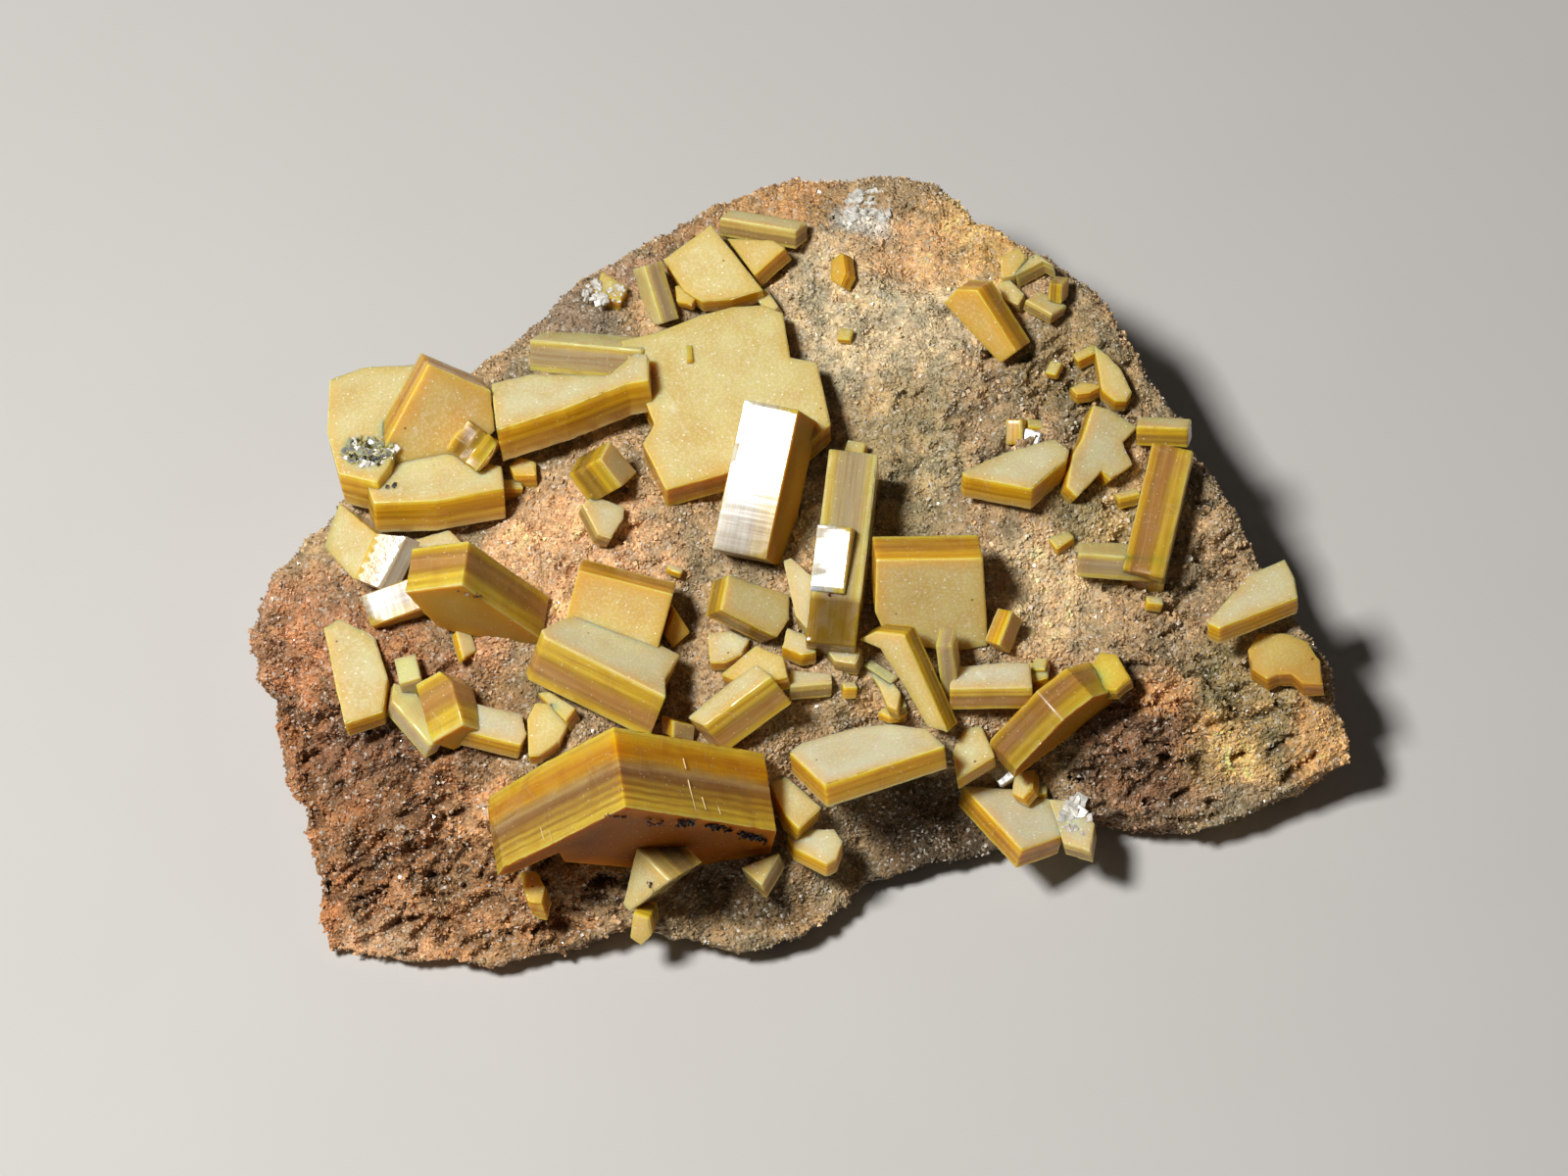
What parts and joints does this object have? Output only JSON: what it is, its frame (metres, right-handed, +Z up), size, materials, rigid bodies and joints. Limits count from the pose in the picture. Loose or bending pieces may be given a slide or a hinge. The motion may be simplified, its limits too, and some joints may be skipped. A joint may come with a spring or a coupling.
{
  "type": "wulfenite specimen",
  "caption": "Square tabular yellow and amber wulfenite crystals grown at all angles over a low, weathered slab of brown matrix rock.",
  "frame": {"origin": "middle of the bounding box, on the plane that the rock lies on", "axes": "+X along the longest side of the rock, +Y towards its back, +Z up through the crystals"},
  "size_m": [0.0784, 0.0594, 0.0225],
  "materials": {
    "matrix_rock": "rough, granular and sparkling",
    "wulfenite": "waxy to adamantine, translucent"
  },
  "bodies": {
    "root": {"amber_prism": "wulfenite", "amber_stub": "wulfenite", "amber_wedge": "wulfenite", "back_left_plates": "wulfenite", "bent_tablet": "wulfenite", "bright_faced_block": "wulfenite", "broad_banded_tablet": "wulfenite", "broken_plate": "wulfenite", "brown_backed_plate": "wulfenite", "centre_banded_bar": "wulfenite", "chipped_block": "wulfenite", "diagonal_bar": "wulfenite", "elbow_tablet": "wulfenite", "flat_flake": "wulfenite", "front_banded_tablet": "wulfenite", "front_left_tablet": "wulfenite", "front_right_tablet": "wulfenite", "glassy_corner": "wulfenite", "great_bow_tablet": "wulfenite", "great_plate": "wulfenite", "left_trio": "wulfenite", "long_banded_bars": "wulfenite", "low_amber_tile": "wulfenite", "low_banded_tablet": "wulfenite", "matrix_rock": "matrix_rock", "mid_block_pair": "wulfenite", "mid_tablet": "wulfenite", "olive_edge_tablet": "wulfenite", "orange_tile": "wulfenite", "pale_kite": "wulfenite", "pale_low_tablet": "wulfenite", "pale_shard": "wulfenite", "pale_wedge": "wulfenite", "rear_bar": "wulfenite", "rear_block": "wulfenite", "rear_plate": "wulfenite", "rear_right_blocks": "wulfenite", "rear_rod": "wulfenite", "rear_wedge": "wulfenite", "right_angled_pair": "wulfenite", "right_edge_plate": "wulfenite", "right_edge_tablet": "wulfenite", "right_rim_bar": "wulfenite", "right_tablet": "wulfenite", "rounded_left_plate": "wulfenite", "shadow_wedge": "wulfenite", "short_rod": "wulfenite", "small_bar": "wulfenite", "small_cube": "wulfenite", "small_front_tile": "wulfenite", "smoky_rod": "wulfenite", "square_leaning_plate": "wulfenite", "square_standing_plate": "wulfenite", "tall_bright_blade": "wulfenite", "tall_striped_blade": "wulfenite", "tucked_plate": "wulfenite", "yellow_edge_plate": "wulfenite"}
  },
  "joints": []
}
